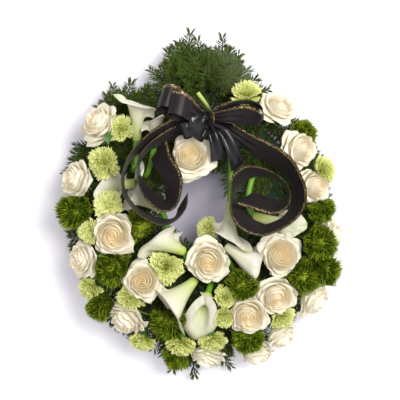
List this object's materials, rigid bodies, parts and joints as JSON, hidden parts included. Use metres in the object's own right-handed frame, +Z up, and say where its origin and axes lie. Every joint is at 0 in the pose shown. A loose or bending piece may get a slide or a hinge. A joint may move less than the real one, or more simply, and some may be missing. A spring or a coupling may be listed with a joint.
{
  "type": "funeral wreath",
  "caption": "Round funeral wreath on a foam ring in a tray, dressed with roses, callas, carnations, green dianthus, fir and a black ribbon bow.",
  "frame": {"origin": "centre of the tray's flat underside, which the wreath lies on", "axes": "+Z up, out of the wreath's front; +Y towards the bow and the fir fan at the wreath's top; +X to the right as seen from the front"},
  "size_m": [0.4999, 0.6123, 0.1721],
  "materials": {
    "rose_ivory": "matte",
    "calla_white": "satin",
    "carnation_lime": "matte",
    "dianthus_green": "matte",
    "fir_green": "matte",
    "foam_green": "matte",
    "tray_plastic": "satin",
    "ribbon_black": "satin",
    "satin_black": "gloss"
  },
  "bodies": {
    "root": {"tray": "tray_plastic", "foam_ring": "foam_green", "satin_ribbon": "satin_black", "ribbon_bow": "ribbon_black", "ribbon_tail_left": "ribbon_black", "ribbon_tail_right": "ribbon_black", "rose_01": "rose_ivory", "rose_02": "rose_ivory", "rose_03": "rose_ivory", "rose_04": "rose_ivory", "rose_05": "rose_ivory", "rose_06": "rose_ivory", "rose_07": "rose_ivory", "rose_08": "rose_ivory", "rose_09": "rose_ivory", "rose_10": "rose_ivory", "rose_11": "rose_ivory", "rose_12": "rose_ivory", "rose_13": "rose_ivory", "rose_14": "rose_ivory", "rose_15": "rose_ivory", "rose_16": "rose_ivory", "rose_17": "rose_ivory", "rose_18": "rose_ivory", "rose_19": "rose_ivory", "calla_01": "calla_white", "calla_02": "calla_white", "calla_03": "calla_white", "calla_04": "calla_white", "calla_05": "calla_white", "calla_06": "calla_white", "calla_07": "calla_white", "carnation_01": "carnation_lime", "carnation_02": "carnation_lime", "carnation_03": "carnation_lime", "carnation_04": "carnation_lime", "carnation_05": "carnation_lime", "carnation_06": "carnation_lime", "carnation_07": "carnation_lime", "carnation_08": "carnation_lime", "carnation_09": "carnation_lime", "carnation_10": "carnation_lime", "carnation_11": "carnation_lime", "carnation_12": "carnation_lime", "carnation_13": "carnation_lime", "dianthus_01": "dianthus_green", "dianthus_02": "dianthus_green", "dianthus_03": "dianthus_green", "dianthus_04": "dianthus_green", "dianthus_05": "dianthus_green", "dianthus_06": "dianthus_green", "dianthus_07": "dianthus_green", "dianthus_08": "dianthus_green", "dianthus_09": "dianthus_green", "dianthus_10": "dianthus_green", "fir_top_left": "fir_green", "fir_top_right": "fir_green", "fir_left": "fir_green", "fir_bottom": "fir_green", "fir_inner": "fir_green"}
  },
  "joints": []
}
